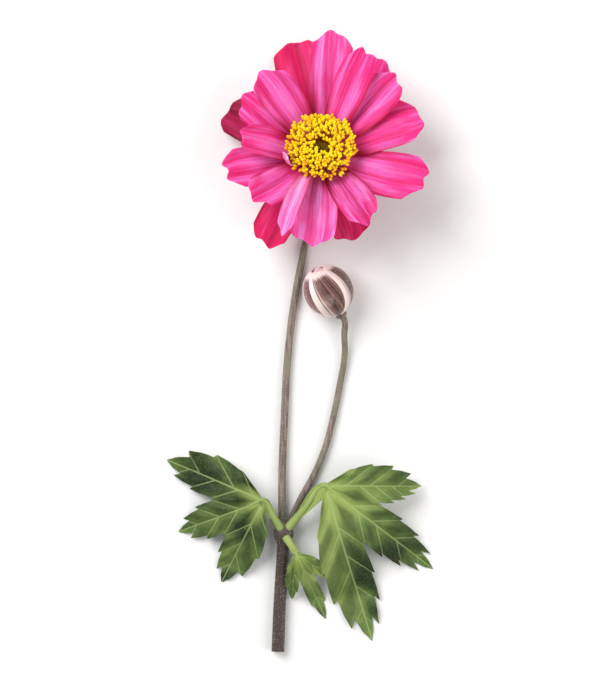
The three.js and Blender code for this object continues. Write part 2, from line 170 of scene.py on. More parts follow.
def paint(base, *layers):
    """Lays each (share, colour) over the base. Inputs 6 and 7 are a Mix node's colours."""
    for share, colour in layers:
        feeds = {0: share}
        for socket, tone in ((6, base), (7, colour)):
            feeds[socket] = tone if isinstance(tone, bpy.types.NodeSocket) else (*tone, 1)
        base = make(share.id_data, "Mix", feeds, data_type="RGBA").outputs[2]
    return base


def calc(operation, first, second=0):
    return make(first.id_data, "Math", {0: first, 1: second}, operation=operation).outputs[0]


def times(first, second):
    return calc("MULTIPLY", first, second)


def fade(value, start, end, to_start=0, to_end=1):
    """A smooth step from to_start to to_end as the value goes from start to end."""
    feeds = {0: value, 1: start, 2: end, 3: to_start, 4: to_end}
    return make(value.id_data, "MapRange", feeds, interpolation_type="SMOOTHSTEP").outputs[0]


def noise(where, scale, detail=2, roughness=0.5):
    feeds = {"Vector": where, "Scale": scale, "Detail": detail, "Roughness": roughness}
    return make(where.id_data, "TexNoise", feeds).outputs[0]


def attribute(tree, name):
    return make(tree, "Attribute", attribute_name=name).outputs["Fac"]


def object_place(tree):
    return make(tree, "TexCoord").outputs["Object"]


def sheet_place(tree):
    """How far across and along its sheet a point lies, from 0 to 1."""
    spread = make(tree, "SeparateXYZ", {0: make(tree, "UVMap").outputs[0]}).outputs
    return spread[0], spread[1]


def sheet_noise(tree, count, length, detail=2):
    """Noise stretched along a sheet: so many streaks across it, and so many along it."""
    across, along = sheet_place(tree)
    feeds = {0: times(across, count), 1: times(along, length), 2: attribute(tree, "seed")}
    return noise(make(tree, "CombineXYZ", feeds).outputs[0], 1, detail)


def off_middle(across):
    """0 on a sheet's middle line and 1 on both its edges."""
    return calc("ABSOLUTE", calc("SUBTRACT", times(across, 2), 1))


def start_finish(name, roughness, sockets):
    """A material with its shader's constant numbers set."""
    material = give(bpy.data.materials.new(name), use_nodes=True)
    shader = material.node_tree.nodes["Principled BSDF"]
    for socket, value in {"Roughness": roughness, **sockets}.items():
        shader.inputs[socket].default_value = value
    return material, material.node_tree


def end_finish(material, colour, height, depth, strength=1):
    """Joins colour and bump to the shader: depth is the bump's real height in millimetres."""
    tree = material.node_tree
    shader = tree.nodes["Principled BSDF"]
    bump = make(tree, "Bump", {"Height": height, "Distance": depth * MM, "Strength": strength})
    tree.links.new(colour, shader.inputs["Base Color"])
    tree.links.new(bump.outputs[0], shader.inputs["Normal"])
    return material


# %% Helper for finely grained finishes, and the table's
def grained_finish(name, roughness, sockets, grains, bump, base, *layers):
    """Grains are a noise's scale and detail, and bump its depth and strength. A layer's share is the grain or
    a value kept on the points, faded over the span if it has one."""
    material, tree = start_finish(name, roughness, sockets)
    grain = noise(object_place(tree), *grains)
    shares = []
    for source, span, colour in layers:
        value = grain if source == "grain" else attribute(tree, source)
        shares.append((fade(value, *span) if span else value, colour))
    return end_finish(material, paint(base, *shares), grain, *bump)


table_finish = grained_finish("pale_table", 0.75, {}, [900], [0.02, 0.2], (0.84, 0.84, 0.83),
                              ("grain", (), (0.88, 0.88, 0.87)))
coat(table, table_finish)
print("table finish:", table_finish.name)

# %% [markdown]
# ## Shaping thin sheets
# Petals, sepals and leaves are sheets a few tenths of a millimetre thick. Each starts as a flat grid, whose
# UV map runs across and along it, and a formula moves its points, because no operator pleats a petal.
# Solidify gives the thickness, with the second material underneath, and Subdivision rounds the edges. The UV
# map stays, so streaks follow the sheet.


# %% Helpers for sheets
UNDER_FINISH = 1  # a sheet's second finish lies on its underside, and the stem's on its cut face


def set_points(piece, points):
    piece.data.vertices.foreach_set("co", np.asarray(points, float).ravel())
    piece.data.update()


def apply_all(piece):
    only(piece)
    for modifier in list(piece.modifiers):
        bpy.ops.object.modifier_apply(modifier=modifier.name)


def edit_all(piece, work, **settings):
    """Does some work in edit mode, with the whole mesh selected."""
    only(piece)
    bpy.ops.object.mode_set(mode="EDIT")
    bpy.ops.mesh.select_all(action="SELECT")
    work(**settings)
    bpy.ops.object.mode_set(mode="OBJECT")


def keep_values(piece, **values):
    """Keeps a number for every point under each name, which the paint reads."""
    count = len(piece.data.vertices)
    for name, value in values.items():
        kept = piece.data.attributes.new(name, "FLOAT", "POINT")
        kept.data.foreach_set("value", np.full(count, value, np.float32))


def bent_grid(name, across, along, surface, *shape):
    """A grid moved to surface(u, v, *shape), with u from -1 to 1 and v from 0 to 1, which gives millimetres
    of the drawing and the values that the paint reads."""
    bpy.ops.mesh.primitive_grid_add(x_subdivisions=across, y_subdivisions=along, size=2, calc_uvs=True)
    sheet = give(bpy.context.object, name=name)
    flat = points_of(sheet)
    points, values = surface(flat[:, 0], (flat[:, 1] + 1) / 2, *shape)
    set_points(sheet, place(points))
    keep_values(sheet, **values)
    edit_all(sheet, bpy.ops.mesh.flip_normals)
    return sheet


def thicken(sheet, thickness, finish, under_finish):
    coat(sheet, finish, under_finish)
    give(sheet.modifiers.new("wall", "SOLIDIFY"), thickness=thickness * MM, offset=0,
         material_offset=UNDER_FINISH)
    give(sheet.modifiers.new("rounding", "SUBSURF"), levels=1, render_levels=1)
    apply_all(sheet)
    bpy.ops.object.shade_smooth()


def hand_over(piece, slot, *nodes):
    """Tells the frame what the piece rides on and what it stands for. The slot is not used."""
    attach(piece, "root")
    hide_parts(*nodes)


# %% [markdown]
# ## Petals
# An anemone's petals are really sepals: thin, silky and pleated lengthwise, with blunt, uneven tips. Cloth
# simulation would drape them, but a living petal is stiff, so each follows a formula: a midline that rises
# or bends back, a half width, a trough across it, and pleats that fade towards the foot. Five dark ones bend
# back behind the bloom, eleven spread in two rings above them, and three narrow ones crowd the stamens. The
# rows are those of the solids, but the tip of the last one, a small curl, rolls further over here.

# %% Name what makes one petal differ from the next
COLLAR_RADIUS = 2.6
COLLAR_TOP = 3.9
GAP = 0.3
LAYER_STEP = 1.0
CLAW_HALF = 0.85
WIDEST = 0.66
CLAW_CURVE = 1.15
TIP_TAPER = 0.2
TIP_ROUND = 0.12
TIP_NOTCH = 0.018
TIP_RAGGED = 0.013
FOOT_SPREAD = 0.9  # a thin petal's foot is about this much wider on each side than its solid's
TUCK = 0.6  # and starts this much further in, inside the collar, so that no gap shows
LAP = 0.24  # one of its edges is raised and the other lowered by up to this, to lap over its neighbours
PLEAT_DEPTH = 0.36
RIB_DEPTH = 0.05
CRINKLE_DEPTH = 0.28
USUAL_WIDTH = 12
MIDLINE_STEPS = 24
GOLDEN_ANGLE = 2.399963
PETAL_SHEET = 0.26
FLOOR_CLEARANCE = 0.16

Petal = namedtuple("Petal", "at layer length width bend lean trough ruffle twist finish")
PETALS = [Petal(*row) for row in (
    # rose on this low outer petal is painted light, lighter than its neighbours to offset the shade it lies in
    (59, 0, 30.4, 11.5, (8, -4, -18), 2, 0.7, 0.5, 4, "rose"),
    (103, 0, 31.2, 13.0, (12, 0, -20), 0, 0.8, 0.6, -5, "crimson"),
    (152, 0, 27.2, 13.5, (5, -12, -24), -2, 0.9, 0.6, 6, "wine"),
    (234, 0, 25.8, 10.5, (4, -14, -24), 3, 1.2, 0.5, -8, "crimson"),
    # crimson on this low petal is painted light, a lighter tone than wine to offset the shade it lies in
    (295, 0, 21.6, 11.0, (4, -14, -26), -3, 1.0, 0.9, 8, "crimson"),
    (21, 1, 26.6, 12.8, (22, 24, 10), -5, 1.5, 0.5, -4, "rose"),
    (81, 1, 30.8, 11.5, (20, 24, 16), 3, 1.1, 0.6, 3, "lilac"),
    (152, 1, 23.6, 10.8, (22, 22, 14), -5, 1.2, 0.6, -6, "rose"),
    (198, 1, 25.4, 11.8, (22, 24, 14), -2, 1.4, 0.8, 6, "rose"),
    # this petal's lighter pink is painted light, offsetting the shadow that the narrow petal above casts on it
    (264, 1, 26.4, 12.2, (20, 22, 12), 1, 1.3, 0.6, 0, "blush"),
    (332, 1, 28.2, 12.6, (20, 24, 12), 8, 1.5, 0.5, 5, "rose"),
    (43, 2, 27.0, 10.8, (24, 34, 24), -2, 1.3, 0.7, 5, "rose"),
    (126, 2, 25.6, 10.8, (24, 38, 34), 5, 1.2, 0.6, -4, "rose"),
    (177, 2, 22.0, 9.2, (24, 38, 32), 0, 1.5, 0.7, 8, "rose"),
    (226, 2, 25.0, 10.0, (24, 38, 28), -4, 1.4, 0.8, -6, "rose"),
    (299, 2, 27.6, 9.6, (24, 38, 30), 0, 2.2, 0.6, 12, "striped"),
    (63, 3, 28.4, 9.4, (30, 40, 26), 0, 1.1, 0.5, -8, "rose"),
    (240, 3, 29.0, 4.8, (32, 42, 6), 9, 1.2, 0.4, 16, "pale"),
    (202, 3, 14.8, 4.0, (34, 22, 125), 3, 0.4, 0.1, 0, "curl"),
)]
print("petals:", len(PETALS))

# %% [markdown]
# Seen close, a petal is a fan of fine veins, rose-red and a cooler, lighter pink. Noise that runs along it
# mixes four tones in streaks. Following the fold value from the formula, painted shade deepens the valleys of
# the pleats and a painted highlight pales their crests. Painted shade darkens the foot to crimson beside the
# stamens, most of all along its edges, where one petal lies in the shade of the next. The small curl has
# painted shade in its hollow and a painted highlight on its rim.


# %% Mix the petals' finishes
def petal_finish(name, deep, body, light, pale, veins=0.35, rim=None):
    material, tree = start_finish(name, 0.52, {
        "Specular IOR Level": 0.18,
        "Sheen Weight": 0.08,
        "Sheen Roughness": 0.4,
        "Sheen Tint": (1, 0.8, 0.92, 1),
        "Subsurface Weight": 0.22,
        "Subsurface Radius": (1, 0.35, 0.55),
        "Subsurface Scale": 1.2 * MM,
    })
    across, along = sheet_place(tree)
    fold = attribute(tree, "fold")
    streaks = sheet_noise(tree, 10, 1.4, 3)
    patches = sheet_noise(tree, 2.4, 2)
    fibres = sheet_noise(tree, 62, 3)
    side = off_middle(across)
    # foot and gap_shade are colours of painted shade, under the stamens and between overlapping petals
    foot = (0.9 * deep[0], 0.7 * deep[1], 0.55 * deep[2])
    gap_shade = (0.5 * deep[0], 0.3 * deep[1], 0.2 * deep[2])
    colour = paint(
        body,
        (fade(streaks, 0.36, 0.56), light),
        (fade(patches, 0.44, 0.66, 0, 0.8), light),
        # painted highlight: the pale tone on the crests of the pleats
        (fade(fold, 0.3, 0, 0, 0.45), pale),
        (fade(patches, 0.52, 0.34, 0, 0.7), body),
        (times(fade(along, 0.6, 0.9), fade(streaks, 0.62, 0.42)), body),
        # painted shade: the deep tone in the valleys of the pleats
        (fade(fold, 0.62, 1, 0, 0.75), deep),
        (fade(fibres, 0.45, 0.62, 0, veins), deep),
        # painted shade along the sides, where one petal lies in the shade of the next, deepest near the foot
        (times(fade(side, 0.82, 1), fade(along, 1, 0.8, 0, 0.75)), foot),
        (times(fade(side, 0.45, 1), fade(along, 0.7, 0.25)), foot),
        (times(fade(side, 0.45, 1), fade(along, 0.54, 0.3, 0, 0.65)), gap_shade),
        # painted shade on the foot, under the stamens
        (fade(along, 0.32, 0.08, 0, 0.8), foot),
    )
    # painted highlight: a pale rim along the curl's edges and rolled tip
    if rim:
        margin = calc("MAXIMUM", side, fade(along, 0.72, 1))
        colour = paint(colour, (fade(margin, 0.5, 0.85), rim))
    return end_finish(material, colour, calc("ADD", times(fibres, 0.6), streaks), 0.16, 0.7)


PETAL_TONES = {  # deep, body, light and pale, how strong the veins are where that isn't usual, and a rim
    "petal_wine": [(0.13, 0.001, 0.018), (0.3, 0.002, 0.045), (0.42, 0.006, 0.085), (0.52, 0.02, 0.15)],
    "petal_crimson": [(0.38, 0.005, 0.05), (0.7, 0.01, 0.115), (0.8, 0.028, 0.2), (0.86, 0.1, 0.36)],
    "petal_rose": [(0.54, 0.009, 0.118), (0.86, 0.038, 0.252), (0.89, 0.138, 0.51), (0.92, 0.3, 0.7)],
    "petal_striped": [(0.34, 0.004, 0.072), (0.85, 0.035, 0.235), (0.9, 0.16, 0.54), (0.94, 0.34, 0.74), 0.6],
    "petal_lilac": [(0.6, 0.02, 0.17), (0.86, 0.055, 0.3), (0.9, 0.19, 0.59), (0.93, 0.38, 0.78)],
    # painted light: a lighter pink for a petal in the shadow of another
    "petal_blush": [(0.74, 0.04, 0.24), (0.95, 0.095, 0.4), (0.97, 0.26, 0.7), (0.97, 0.46, 0.84)],
    "petal_pale": [(0.72, 0.07, 0.3), (0.88, 0.2, 0.54), (0.91, 0.36, 0.72), (0.95, 0.58, 0.84), 0.25],
    # the curl's dark tones are painted shade in its hollow, and its rim is a painted highlight
    "petal_curl": [(0.2, 0.004, 0.03), (0.4, 0.012, 0.08), (0.62, 0.05, 0.2), (0.8, 0.15, 0.36), 0.2,
                   (0.98, 0.55, 0.76)],
    "petal_back": [(0.4, 0.02, 0.1), (0.66, 0.06, 0.24), (0.8, 0.16, 0.42), (0.88, 0.36, 0.6)],
    "curl_back": [(0.8, 0.14, 0.36), (0.94, 0.36, 0.6), (0.97, 0.52, 0.76), (0.98, 0.68, 0.86)],
}
petal_finishes = {name: petal_finish(name, *tones) for name, tones in PETAL_TONES.items()}
print("petal finishes:", len(petal_finishes))


# %% Write the petal's formula
def compass(angle):
    """The level direction that points outwards at an angle, and the one to its left."""
    outward = np.array([cos(angle), sin(angle), 0])
    return outward, np.array([-outward[1], outward[0], 0])


def mix(first, second, share):
    return first + (second - first) * share


def petal_half_width(width, share):
    claw = CLAW_HALF + FOOT_SPREAD * np.exp(-((share - 0.2) / 0.22) ** 2) * (width / USUAL_WIDTH) ** 2
    rising = sin(pi / 2 * clip(share, 0, WIDEST) / WIDEST) ** CLAW_CURVE
    past = (share - WIDEST) / (1 - WIDEST)
    return claw + (width / 2 - CLAW_HALF) * np.where(share < WIDEST, rising, 1 - TIP_TAPER * past**2)


def petal_midline(petal, share):
    """Adds up the slope in short steps: it blends from the foot's to the middle's to the tip's."""
    foot, middle, tip_slope = petal.bend
    reach = np.full_like(share, COLLAR_RADIUS + GAP)
    height = np.full_like(share, petal.layer * LAYER_STEP)

    def slope_at(v):
        return radians(foot * (1 - v) ** 2 + 2 * middle * v * (1 - v) + tip_slope * v * v)

    for step in range(MIDLINE_STEPS):
        slope = slope_at(share * (step + 0.5) / MIDLINE_STEPS)
        reach += cos(slope) * petal.length * share / MIDLINE_STEPS
        height += sin(slope) * petal.length * share / MIDLINE_STEPS
    return reach, height, slope_at(share)


def petal_surface(u, v, petal, index):
    phase = index * GOLDEN_ANGLE % (2 * pi)
    outward, sideways = compass(radians(petal.at))
    tuck = TUCK / petal.length
    side = np.abs(u)
    swell = cos(2 * pi * u + phase)
    blunt = 1 - TIP_ROUND * side**2.6 * v - TIP_NOTCH * v**3 * (1 + swell)
    waves = 0.6 * sin(4.3 * u + 3 * phase) + 0.3 * sin(9.7 * u + 5 * phase) * cos(2 * u + phase)
    ragged = TIP_RAGGED * v**9 * (waves + 0.05 * sin(23 * u + phase) + 0.8)
    share = (v * (1 + tuck) - tuck) * blunt - ragged
    reach, height, slope = petal_midline(petal, share)
    half = petal_half_width(petal.width, share) * u
    grown = clip(share, 0, 1)
    trough = petal.trough * u * u * minimum(1, 2.2 * grown)
    edge_wave = side**1.5 * sin(9 * share + phase + 2 * np.sign(u))
    ruffle = petal.ruffle * grown * (edge_wave + 0.5 * share**2 * swell)
    folds = 2.1 + 0.5 * sin(5 * phase)
    pleat = cos(folds * pi * u + 0.9 * sin(2.4 * share + phase) + 2 * phase)
    ribs = cos(9.3 * pi * u + 1.2 * sin(4 * share + phase))
    crinkle = grown**3 * sin(14 * share + 3 * phase + 4 * u) * sin(5 * u + phase)
    depth = minimum(1, 3.2 * grown) * petal.width / USUAL_WIDTH
    relief = depth * (PLEAT_DEPTH * pleat + RIB_DEPTH * ribs + CRINKLE_DEPTH * crinkle)
    lap = LAP * u * minimum(1, 6 * grown) * (1 - 0.4 * grown)
    twist = radians(petal.twist) * share
    aside = half * cos(twist) + petal.length * np.tan(radians(petal.lean)) * share**2
    lift = half * sin(twist) + trough + ruffle + relief + lap
    flat = (reach - sin(slope) * lift)[:, None] * outward + aside[:, None] * sideways
    flat[:, 2] = height + cos(slope) * lift
    points = bloom_to_drawing(flat)
    points[:, 2] = maximum(points[:, 2], FLOOR_CLEARANCE)
    # the fold value is high in the pleats' valleys and low on their crests, and the paint lays painted shade
    # and a painted highlight by it
    fold = clip(0.5 - 0.42 * pleat - 0.10 * ribs, 0, 1)
    return points, {"fold": fold, "seed": 3.7 * index}


# %% Bend every petal
for index, petal in enumerate(PETALS):
    node = f"petal_{index + 1:02d}"
    across, along = (12, 20) if petal.finish == "curl" else (26, 40)
    back = "curl_back" if petal.finish == "curl" else "petal_back"
    sheet = bent_grid(f"silk_{node}", across, along, petal_surface, petal, index)
    thicken(sheet, PETAL_SHEET, petal_finishes[f"petal_{petal.finish}"], petal_finishes[back])
    hand_over(sheet, "petal_outer" if petal.layer == 0 else "petal", node)
print("faces on the curl:", len(sheet.data.polygons))

# %% [markdown]
# ## Stamens
# The golden disc is a crowd of stamens, each a thin filament with a two-lobed anther on its end. Hair would
# plant them, but here each leans out by its row, from almost upright round the pistils to half lying over
# the feet of the petals. So one straight stamen is modelled, from a stack of rings and two small spheres,
# and a copy is bent along each stamen's own path.


# %% Model one straight stamen
def ring_stack(name, profile, sides, cap=False):
    """Rings of (radius, height) in millimetres, each extruded from the one before it and resized."""
    start_radius, start_height = profile[0]
    bpy.ops.mesh.primitive_circle_add(vertices=sides, radius=start_radius, location=(0, 0, start_height),
                                      fill_type="NGON" if cap else "NOTHING")
    stack = give(bpy.context.object, name=name)
    bpy.ops.object.transform_apply()

    def raise_rings():
        for (radius, height), (next_radius, next_height) in zip(profile, profile[1:]):
            bpy.ops.mesh.extrude_region_move(TRANSFORM_OT_translate={"value": (0, 0, next_height - height)})
            scale = next_radius / radius
            bpy.ops.transform.resize(value=(scale, scale, 1), center_override=(0, 0, next_height))

    edit_all(stack, raise_rings)
    edit_all(stack, bpy.ops.mesh.normals_make_consistent, inside=False)
    return stack


def join(*pieces):
    only(*pieces)
    bpy.ops.object.join()
    bpy.ops.object.shade_smooth()
    return pieces[0]


FILAMENT_LENGTH = 6.0
filament = ring_stack("filament", [(0.15, 0), (0.12, 1.8), (0.10, 3.9), (0.08, FILAMENT_LENGTH)], 5)
lobes = []
for side in (-1, 1):
    bpy.ops.mesh.primitive_uv_sphere_add(segments=6, ring_count=5, radius=1,
                                         location=(0.33 * side, 0, FILAMENT_LENGTH + 0.35),
                                         rotation=(0, radians(9 * side), 0))
    lobes.append(give(bpy.context.object, scale=(0.45, 0.52, 1)))
    bpy.ops.object.transform_apply()
print("faces on the filament and on a lobe:", len(filament.data.polygons), len(lobes[0].data.polygons))


# %% Mix the filaments' and anthers' finishes
# A filament is brown-gold where it leaves the ring, then orange, and yellow under its anther.
filament_paint = grained_finish(
    "filament", 0.5, {"Subsurface Weight": 0.2, "Subsurface Scale": 0.4 * MM}, [4000], [0.03],
    (0.64, 0.2, 0.012),
    ("along", (0.1, 0.55), (0.9, 0.44, 0.02)),
    ("along", (0.5, 0.95), (0.96, 0.66, 0.03)),
)
# Anthers are golden, flecked with pollen and painted highlights, each a little riper or greener than its
# neighbour.
anther_paint = grained_finish(
    "anther", 0.7, {"Specular IOR Level": 0.3}, [5200, 3], [0.09],
    (0.98, 0.76, 0.006),
    ("tone", (0.2, 1.1), (0.92, 0.44, 0.006)),
    # lighter flecks: pollen dust and painted highlights
    ("grain", (0.52, 0.75, 0, 0.7), (1, 0.88, 0.1)),
    ("grain", (0.45, 0.28, 0, 0.4), (0.7, 0.3, 0.006)),
)
coat(filament, filament_paint)
for lobe in lobes:
    coat(lobe, anther_paint)
stamen = join(filament, *lobes)
print("finishes on the stamen:", [slot.name for slot in stamen.material_slots])

# %% [markdown]
# A copy keeps the faces of the model and gets points and a tone of its own, so that no two are alike.
# Gathering the copies into one mesh straight away is quicker than joining hundreds of objects.


# %% Helper that gathers copies
def gather(name, model, copies, tones, along=None):
    """One mesh of many copies of a model, each an array of frame points."""
    count = len(model.data.vertices)
    faces = [np.array(face.vertices) for face in model.data.polygons]
    finishes = [face.material_index for face in model.data.polygons]
    copied = [(face + count * copy).tolist() for copy in range(len(copies)) for face in faces]
    mesh = bpy.data.meshes.new(name)
    mesh.from_pydata(np.concatenate(copies).tolist(), [], copied)
    mesh.polygons.foreach_set("material_index", finishes * len(copies))
    mesh.polygons.foreach_set("use_smooth", [True] * len(copied))
    for slot in model.material_slots:
        mesh.materials.append(slot.material)
    crowd = bpy.data.objects.new(name, mesh)
    scene.collection.objects.link(crowd)
    keep_values(crowd, tone=np.repeat(tones, count))
    if along is not None:
        keep_values(crowd, along=np.tile(along, len(copies)))
    bpy.data.objects.remove(model)
    return crowd


# %% Plant the stamens row by row
RING_FOOT = COLLAR_TOP + GAP
STAMEN_CURVE = 14  # degrees that a stamen turns upright from its foot to its end
Row = namedtuple("Row", "count root lean length")
STAMEN_ROWS = [Row(*row) for row in (
    (39, 2.75, 32, 7.2), (38, 2.65, 41, 7.2), (35, 2.55, 50, 7.1),
    (30, 2.45, 59, 6.9), (24, 2.4, 68, 6.5), (16, 2.35, 78, 6),
)]
random = np.random.default_rng(11)
straight = points_of(stamen)
along_stamen = clip(straight[:, 2] / FILAMENT_LENGTH, 0, 1)


def bent_stamen(azimuth, root, lean, length, spin):
    """Runs the straight stamen along a path that curves upright as it rises."""
    outward, sideways = compass(azimuth)
    share = along_stamen + maximum(straight[:, 2] - FILAMENT_LENGTH, 0) / length

    def path(part):
        slope = radians(lean + STAMEN_CURVE * (part - 0.5))
        points = (root + length * part * cos(slope))[:, None] * outward
        points[:, 2] = RING_FOOT + length * part * sin(slope)
        return points

    ahead = path(share + 0.02) - path(share - 0.02)
    ahead /= norm(ahead, axis=1)[:, None]
    x = straight[:, 0] * cos(spin) - straight[:, 1] * sin(spin)
    y = straight[:, 0] * sin(spin) + straight[:, 1] * cos(spin)
    return path(share) + x[:, None] * sideways + y[:, None] * np.cross(ahead, sideways)


copies, tones = [], []
for number, row in enumerate(STAMEN_ROWS):
    for place_in_row in range(row.count):
        azimuth = 2 * pi * (place_in_row + 0.5 * (number % 2) + random.uniform(-0.3, 0.3)) / row.count
        lean = row.lean + random.uniform(-6, 6)
        length = row.length * random.uniform(0.86, 1.10)
        bent = bent_stamen(azimuth, row.root, lean, length, random.uniform(0, pi))
        copies.append(place(bloom_to_drawing(bent)))
        tones.append(random.uniform(0, 0.8) if number else random.uniform(0.4, 1.2))
stamens = gather("golden_stamens", stamen, copies, tones, along_stamen)
print("stamens:", len(copies))

# %% [markdown]
# The stamens stand on a narrow ring round the foot of the pistils. It hides under them, so a short stack of
# rings is enough, joined to the crowd because they grew as one.


# %% Add the ring that the stamens stand on
def lean_into_frame(piece):
    """Takes a piece modelled upright on the bloom's axis to its place."""
    set_points(piece, place(bloom_to_drawing(points_of(piece))))
    return piece


def seat(crowd, rings, finish, tone):
    """Joins a crowd to the stack of rings that it stands on."""
    coat(rings, finish)
    keep_values(rings, tone=tone, along=0)
    join(crowd, lean_into_frame(rings))


seat(stamens, ring_stack("ring", [
    (2.0, COLLAR_TOP - 0.1), (2.9, COLLAR_TOP - 0.1), (2.95, RING_FOOT + 0.2), (2.6, RING_FOOT + 0.6),
    (1.9, RING_FOOT + 0.5),
], 32), filament_paint, 0)
hand_over(stamens, "stamen", "stamens")
print("faces on the stamens:", len(stamens.data.polygons))

# %% [markdown]
# ## Pistils
# In the middle sits a small green dome of carpels, packed like seeds in a sunflower head. A turn by the
# golden angle from each to the next gives that without a pattern. A carpel is a small sphere drawn out to a
# point, and a smooth dome behind them closes the gaps, with painted shade on it and on the carpels' feet.

# %% Model one carpel and set them round the dome
CARPELS = 84
CARPEL_SIZE = [0.21, 0.21, 0.42]
DOME_FOOT = RING_FOOT + 1.2
DOME_RADIUS = 1.62
DOME_HEIGHT = 1.95


def turn_to(direction):
    """Points times this matrix are turned from upright to the direction."""
    return np.array(Vector(direction).to_track_quat("Z", "Y").to_matrix()).T


pistil_paint = grained_finish(
    "pistil", 0.5, {}, [2600], [0.06], (0.4, 0.34, 0.016),
    ("tone", (), (0.19, 0.17, 0.01)),
    ("grain", (0.5, 0.72, 0, 0.6), (0.7, 0.52, 0.04)),
    # painted shade: the foot of each carpel darkens, as the gaps between the carpels lie in shade
    ("along", (0.55, 0), (0.16, 0.09, 0.006)),
)
bpy.ops.mesh.primitive_uv_sphere_add(segments=7, ring_count=5, radius=1)
carpel = bpy.context.object
coat(carpel, pistil_paint)
egg = points_of(carpel)
pointed = egg * CARPEL_SIZE * np.where(egg[:, 2:] > 0, [[0.8, 0.8, 1.15]], 1)
copies, tones = [], []
for number in range(CARPELS):
    height = 1 - (number + 0.5) / CARPELS * 1.08
    spread = np.sqrt(max(0, 1 - height * height))
    outward = Vector(compass(number * GOLDEN_ANGLE)[0] * spread + [0, 0, height]).normalized()
    foot = np.array(outward) * [DOME_RADIUS, DOME_RADIUS, DOME_HEIGHT] + [0, 0, DOME_FOOT]
    copies.append(place(bloom_to_drawing(pointed * random.uniform(0.85, 1.1) @ turn_to(outward) + foot)))
    tones.append(random.uniform())
pistils = gather("carpel_dome", carpel, copies, tones, clip(0.5 + egg[:, 2] / 2, 0, 1))

profile = [(1.5, COLLAR_TOP), (1.5, RING_FOOT + 0.8), (DOME_RADIUS, DOME_FOOT)]
profile += [(DOME_RADIUS * cos(turn), DOME_FOOT + DOME_HEIGHT * sin(turn))
            for turn in (0.4, 0.8, 1.15, 1.45)]
# the dome takes the darkest tone and the foot's colour, painted shade between the carpels
seat(pistils, ring_stack("dome", profile, 24), pistil_paint, 1)
hand_over(pistils, "pistil", "pistils")
print("carpels:", CARPELS)

# %% [markdown]
# ## Stem, fork and stalks
# The cut stem swells to a fork, where both stalks leave it, and the flower's stalk widens again to the
# collar that carries the petals. They grew as one, so they flow into each other. Each is a curve through a
# few points with a round bevel. Made into meshes, joined and remeshed, they become one skin, and a little
# smoothing fills the corners as growth does.

# %% Draw the routes of the stem and both stalks
STEM_RADIUS = 1.8
STALK_RADIUS = 0.95
BUD_STALK_RADIUS = 0.85
FORK = np.array([-9.9, -101.5, 2.75])
FORK_RADIUS = 2.75
CUT_END = np.array([-11.4, -133, STEM_RADIUS])
BUD_AT = np.array([1.9, -37, 6.95])
BUD_RADIUS = 6.6
BUD_LENGTH = 7.0
BUD_AXIS = np.array([-0.47, 0.84, 0.27]) / norm([-0.47, 0.84, 0.27])
BUD_BASE = BUD_AT - BUD_AXIS * (BUD_LENGTH + GAP)

STEM_ROUTE = [CUT_END - [0.1, 3, 0], CUT_END, (-11, -122, 1.8), (-10.3, -110, 2), FORK]
STALK_ROUTE = [
    (-10.2, -99, 2.6), (-10.3, -88, 1.6), (-9.6, -70, 1.3), (-8.6, -53, 1.3), (-6.7, -38, 1.3),
    (-4.2, -25, 1.4), (-2.4, -15.5, 1.9), (-1.0, -8.6, 3.2),
    *bloom_to_drawing([(0, 0, -3.6), (0, 0, -1.9)]),
]
BUD_STALK_ROUTE = [
    (-8.6, -99.5, 2.2), (-5.6, -93, 1.3), (-1.6, -85.6, 1.1), (1.3, -78.5, 1.1), (3.4, -70.5, 1.1),
    (5.2, -61.5, 1.1), (6.4, -54, 1.7), (6.3, -48.6, 3.2),
    BUD_BASE - 2.2 * BUD_AXIS, BUD_BASE - 0.5 * BUD_AXIS,
]


def round_shoot(name, route, first_radius, last_radius):
    """A curve through the route, made into a mesh."""
    bpy.ops.curve.primitive_bezier_curve_add()
    shoot = give(bpy.context.object, name=name)
    knots = shoot.data.splines[0].bezier_points
    knots.add(len(route) - 2)
    for knot, spot, share in zip(knots, place(route), np.linspace(0, 1, len(route))):
        radius = mix(first_radius, last_radius, share)
        give(knot, co=spot, handle_left_type="AUTO", handle_right_type="AUTO", radius=radius)
    give(shoot.data, dimensions="3D", bevel_depth=MM, bevel_resolution=3, use_fill_caps=True)
    only(shoot)
    bpy.ops.object.convert(target="MESH")
    return bpy.context.object


shoots = [
    round_shoot("stem_run", STEM_ROUTE, STEM_RADIUS, 0.92 * STEM_RADIUS),
    round_shoot("stalk_run", STALK_ROUTE, STALK_RADIUS * 1.12, STALK_RADIUS),
    round_shoot("bud_stalk_run", BUD_STALK_ROUTE, BUD_STALK_RADIUS * 1.1, BUD_STALK_RADIUS),
]
print("shoots:", [shoot.name for shoot in shoots])


# %% Add the fork, the collar and the bud's cup, and grow them together
def turned_ball(name, centre, radii, axis=(0, 0, 1)):
    bpy.ops.mesh.primitive_uv_sphere_add(segments=24, ring_count=14, radius=1)
    ball = give(bpy.context.object, name=name)
    set_points(ball, place(points_of(ball) * radii @ turn_to(axis) + centre))
    return ball


